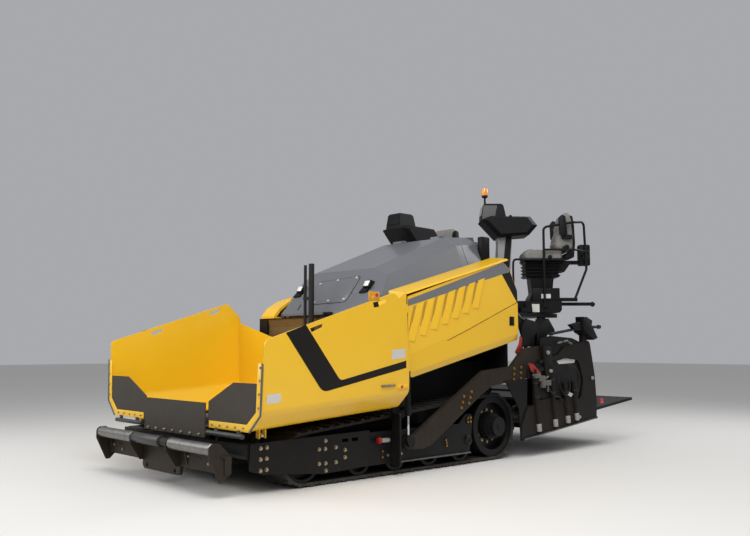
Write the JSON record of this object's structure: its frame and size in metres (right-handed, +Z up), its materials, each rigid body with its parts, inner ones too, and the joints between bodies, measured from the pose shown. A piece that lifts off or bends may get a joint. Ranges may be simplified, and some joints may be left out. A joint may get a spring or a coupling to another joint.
{
  "type": "tracked asphalt paver",
  "caption": "Road paver on two rubber tracks with a folding hopper, slat conveyors, augers, two swing-out operator stations and a towed rear screed.",
  "frame": {"origin": "on the ground below the middle of the machine's length and width", "axes": "+X ahead, +Y to the machine's left, +Z up"},
  "size_m": [7.4463, 3.3214, 3.7154],
  "materials": {
    "yellow paint": "gloss",
    "black paint": "satin",
    "grey paint": "satin",
    "dark brown paint": "satin",
    "track rubber": "matt",
    "flap rubber": "matt",
    "worn steel": "worn",
    "bright rod": "polished",
    "black plastic": "matt",
    "grey plastic": "matt",
    "seat fabric": "woven",
    "cast iron": "rough"
  },
  "bodies": {
    "machine": {"auger_case": "black paint", "body_frame": "black paint", "body_shell": "yellow paint", "box_frame": "black paint", "chassis": "black paint", "conveyor": "worn steel", "deck": "black paint", "drive_wheels": "black paint", "engine_block": "cast iron", "exhaust_stacks": "worn steel", "final_drives": "cast iron", "front_apron": "flap rubber", "hood_nose": "grey paint", "rail_flanges": "worn steel", "rear_cowl": "grey paint", "road_wheels": "black paint", "tow_towers": "black paint", "track_frames": "black paint", "track_left": "track rubber", "track_right": "track rubber", "tunnel_panel": "dark brown paint"},
    "wing_left": {"wing_left": "yellow paint", "flap_left": "flap rubber", "flap_tube_left": "worn steel"},
    "wing_right": {"wing_right": "yellow paint", "flap_right": "flap rubber", "flap_tube_right": "worn steel"},
    "wing_barrel_left": {"wing_barrel_left": "black paint"},
    "wing_barrel_right": {"wing_barrel_right": "black paint"},
    "wing_rod_left": {"wing_rod_left": "bright rod"},
    "wing_rod_right": {"wing_rod_right": "bright rod"},
    "push_beam": {"push_beam": "dark brown paint"},
    "push_roller_left": {"push_roller_left": "worn steel"},
    "push_roller_right": {"push_roller_right": "worn steel"},
    "tow_slides": {"tow_slides": "bright rod"},
    "screed": {"screed": "black paint", "tow_arms": "dark brown paint"},
    "lift_barrels": {"lift_barrels": "black paint"},
    "lift_rods": {"lift_rods": "bright rod"},
    "extension_left": {"extension_left": "black paint", "end_gate_left": "black paint"},
    "extension_right": {"extension_right": "black paint", "end_gate_right": "black paint"},
    "auger_left": {"auger_left": "worn steel"},
    "auger_right": {"auger_right": "worn steel"},
    "engine_hood": {"engine_hood": "grey paint"},
    "side_door_left": {"side_door_left": "yellow paint"},
    "side_door_right": {"side_door_right": "yellow paint"},
    "station_left": {"station_left": "black paint", "console_left": "black plastic", "console_post_left": "grey plastic", "seat_left": "seat fabric", "guard_rail_left": "black paint"},
    "station_right": {"station_right": "black paint", "console_right": "black plastic", "console_post_right": "grey plastic", "seat_right": "seat fabric", "guard_rail_right": "black paint"}
  },
  "joints": [
    {"name": "wing_fold_left", "type": "hinge", "parent": "machine", "child": "wing_left", "pos_m": [2.505, 0.66, 0.7016], "axis": [0.9976, 0, -0.0698], "range_deg": [0, 45]},
    {"name": "wing_barrel_turn_left", "type": "hinge", "parent": "machine", "child": "wing_barrel_left", "pos_m": [3.115, 0.85, 0.33], "axis": [0.9976, 0, -0.0698], "range_deg": [0, 37]},
    {"name": "wing_rod_slide_left", "type": "slide", "parent": "wing_barrel_left", "child": "wing_rod_left", "axis": [0.0377, 0.8417, 0.5387], "range_m": [0, 0.28]},
    {"name": "wing_fold_right", "type": "hinge", "parent": "machine", "child": "wing_right", "pos_m": [2.505, -0.66, 0.7016], "axis": [-0.9976, 0, 0.0698], "range_deg": [0, 45]},
    {"name": "wing_barrel_turn_right", "type": "hinge", "parent": "machine", "child": "wing_barrel_right", "pos_m": [3.115, -0.85, 0.33], "axis": [-0.9976, 0, 0.0698], "range_deg": [0, 37]},
    {"name": "wing_rod_slide_right", "type": "slide", "parent": "wing_barrel_right", "child": "wing_rod_right", "axis": [0.0377, -0.8417, 0.5387], "range_m": [0, 0.28]},
    {"name": "push_beam_turn", "type": "hinge", "parent": "machine", "child": "push_beam", "pos_m": [3.42, 0, 0.3125], "axis": [0, 0, 1], "range_deg": [-4, 4]},
    {"name": "push_roller_spin_left", "type": "hinge", "parent": "push_beam", "child": "push_roller_left", "pos_m": [3.665, 0.8, 0.47], "axis": [0, 1, 0], "continuous": true},
    {"name": "push_roller_spin_right", "type": "hinge", "parent": "push_beam", "child": "push_roller_right", "pos_m": [3.665, -0.8, 0.47], "axis": [0, 1, 0], "continuous": true},
    {"name": "tow_point_slide", "type": "slide", "parent": "machine", "child": "tow_slides", "axis": [0, 0, 1], "range_m": [0, 0.15]},
    {"name": "screed_lift", "type": "hinge", "parent": "tow_slides", "child": "screed", "pos_m": [1.165, 0, 0.36], "axis": [0, 1, 0], "range_deg": [-6, 2.5]},
    {"name": "lift_barrel_turn", "type": "hinge", "parent": "machine", "child": "lift_barrels", "pos_m": [-1.725, 0, 1.8], "axis": [0, 1, 0], "range_deg": [-2, 4.2]},
    {"name": "lift_rod_slide", "type": "slide", "parent": "lift_barrels", "child": "lift_rods", "axis": [0.0524, 0, -0.9986], "range_m": [-0.127, 0.3]},
    {"name": "extension_slide_left", "type": "slide", "parent": "screed", "child": "extension_left", "axis": [0, 1, 0], "range_m": [0, 1.1]},
    {"name": "extension_slide_right", "type": "slide", "parent": "screed", "child": "extension_right", "axis": [0, -1, 0], "range_m": [0, 1.1]},
    {"name": "auger_spin_left", "type": "hinge", "parent": "machine", "child": "auger_left", "pos_m": [-1.255, 0.65, 0.46], "axis": [0, 1, 0], "continuous": true},
    {"name": "auger_spin_right", "type": "hinge", "parent": "machine", "child": "auger_right", "pos_m": [-1.255, -0.65, 0.46], "axis": [0, 1, 0], "continuous": true},
    {"name": "hood_tilt", "type": "hinge", "parent": "machine", "child": "engine_hood", "pos_m": [-0.385, 0, 2.956], "axis": [0, -1, 0], "range_deg": [0, 45]},
    {"name": "side_door_turn_left", "type": "hinge", "parent": "machine", "child": "side_door_left", "pos_m": [1.091, 1.246, 1.6], "axis": [0, 0, -1], "range_deg": [0, 80]},
    {"name": "side_door_turn_right", "type": "hinge", "parent": "machine", "child": "side_door_right", "pos_m": [1.091, -1.246, 1.6], "axis": [0, 0, 1], "range_deg": [0, 80]},
    {"name": "station_turn_left", "type": "hinge", "parent": "machine", "child": "station_left", "pos_m": [-1.295, 1.2, 2], "axis": [0, 0, 1], "range_deg": [0, 43]},
    {"name": "station_turn_right", "type": "hinge", "parent": "machine", "child": "station_right", "pos_m": [-1.295, -1.2, 2], "axis": [0, 0, 1], "range_deg": [0, 43]}
  ],
  "couplings": [
    {"joint": "wing_barrel_turn_left", "follows": "wing_fold_left", "ratio": 0.7805},
    {"joint": "wing_rod_slide_left", "follows": "wing_fold_left", "m_per_rad": 0.3487},
    {"joint": "wing_barrel_turn_right", "follows": "wing_fold_right", "ratio": 0.7805},
    {"joint": "wing_rod_slide_right", "follows": "wing_fold_right", "m_per_rad": 0.3487},
    {"joint": "lift_barrel_turn", "follows": "screed_lift", "ratio": -0.62},
    {"joint": "lift_rod_slide", "follows": "screed_lift", "m_per_rad": -2.84}
  ]
}
